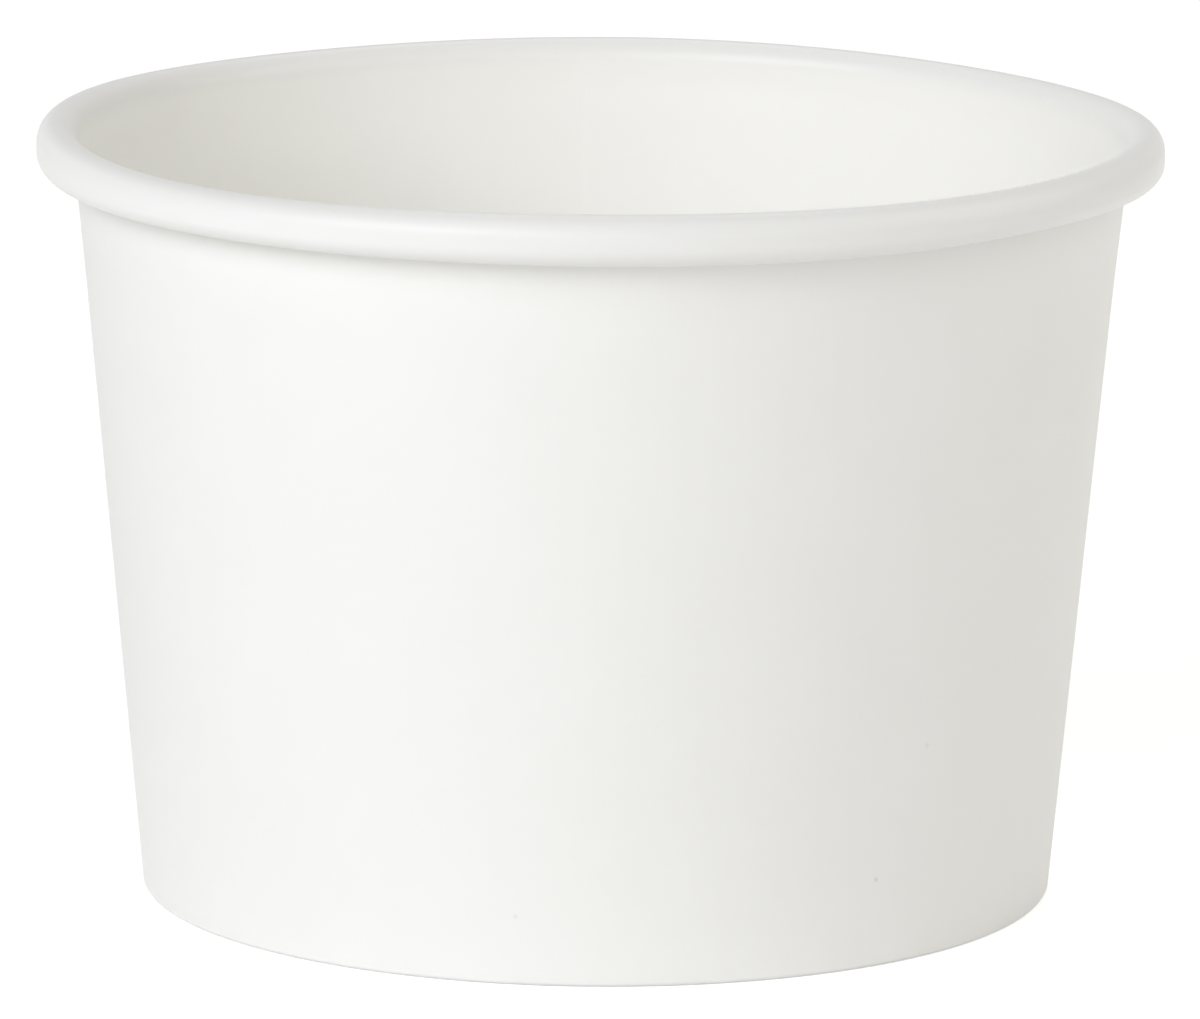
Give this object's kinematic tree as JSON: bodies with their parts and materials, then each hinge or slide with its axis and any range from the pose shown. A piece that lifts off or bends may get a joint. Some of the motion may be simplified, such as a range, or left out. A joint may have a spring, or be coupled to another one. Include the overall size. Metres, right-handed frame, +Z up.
{
  "type": "paper soup bowl",
  "caption": "Plain white round paper soup bowl: tapered paperboard wall with a rolled rim and a side seam, and a flat bottom sealed in a folded foot. Holds a hot portion.",
  "frame": {"origin": "centre of the foot, on the table that the bowl stands on", "axes": "+Z up along the bowl's axis, +Y towards the side seam at the back, +X to the right as the picture shows it"},
  "size_m": [0.09, 0.09, 0.0618],
  "materials": {
    "wall_board": "white coated paperboard, satin",
    "bottom_board": "white coated paperboard, satin"
  },
  "bodies": {
    "root": {"side_wall": "wall_board", "bottom_disc": "bottom_board"}
  },
  "joints": []
}
